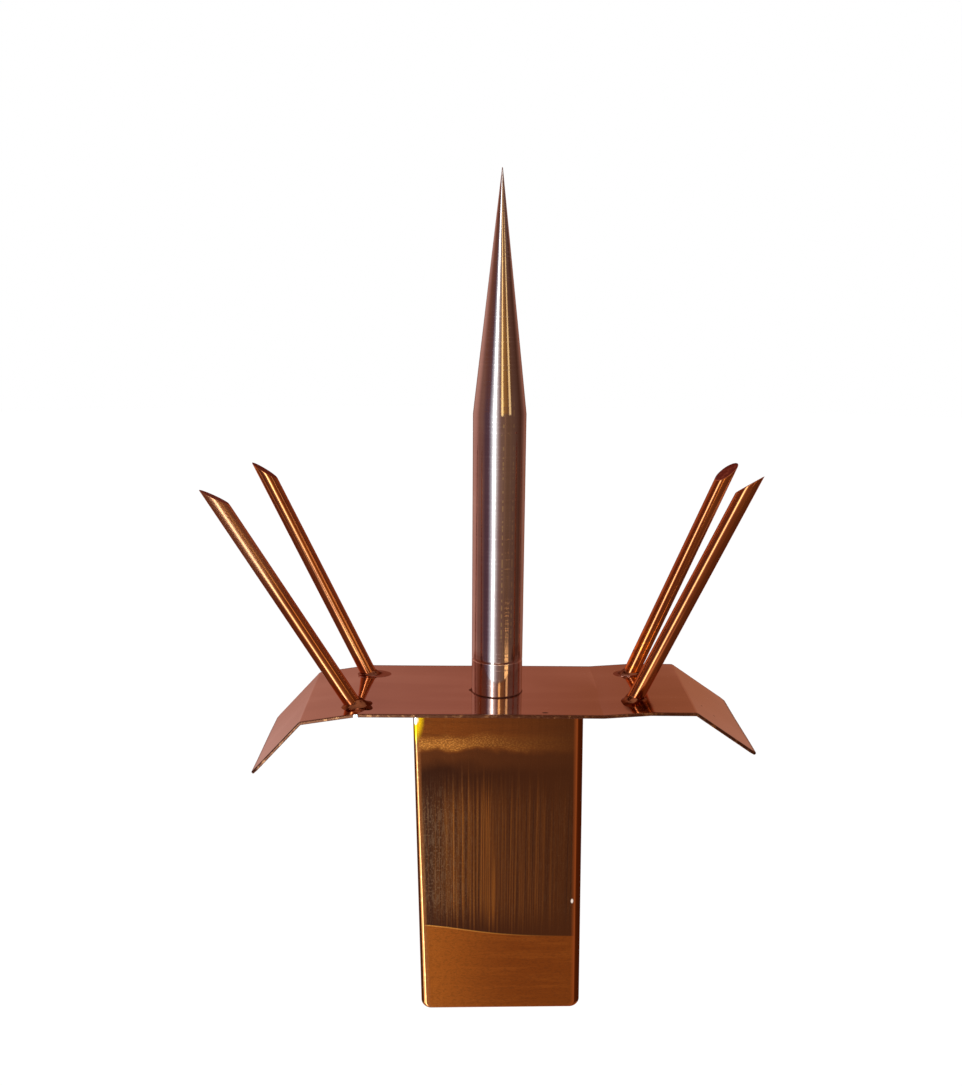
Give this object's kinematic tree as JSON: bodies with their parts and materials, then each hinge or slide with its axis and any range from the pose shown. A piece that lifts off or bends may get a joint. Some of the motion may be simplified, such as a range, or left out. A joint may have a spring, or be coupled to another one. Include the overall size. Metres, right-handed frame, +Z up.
{
  "type": "lightning rod",
  "caption": "Copper lightning rod: a tall turned spike and slanting scarf-cut rods brazed on a folded canopy sheet, with a flat mounting bar below.",
  "frame": {"origin": "on the mounting bar's back face, straight below the spike axis and half way down the bar", "axes": "+Z up along the spike, +Y out of the mounting bar's back face, +X to the right seen from the front"},
  "size_m": [0.2592, 0.08, 0.4221],
  "materials": {
    "copper_turned": "turned copper with fine lathe marks, bright",
    "copper_sheet": "polished pinkish copper sheet",
    "copper_drawn": "drawn copper rod, glossy, dark red-brown",
    "copper_bar": "brushed copper bar, heat-stained brown and orange",
    "braze_metal": "dark glossy braze"
  },
  "bodies": {
    "root": {"spike": "copper_turned", "base_collar": "copper_turned", "canopy_sheet": "copper_sheet", "mounting_bar": "copper_bar", "rod_front_left": "copper_drawn", "rod_rear_left": "copper_drawn", "rod_front_right": "copper_drawn", "rod_rear_right": "copper_drawn", "braze_front_left": "braze_metal", "braze_rear_left": "braze_metal", "braze_front_right": "braze_metal", "braze_rear_right": "braze_metal", "braze_collar": "braze_metal", "braze_bar": "braze_metal"}
  },
  "joints": []
}
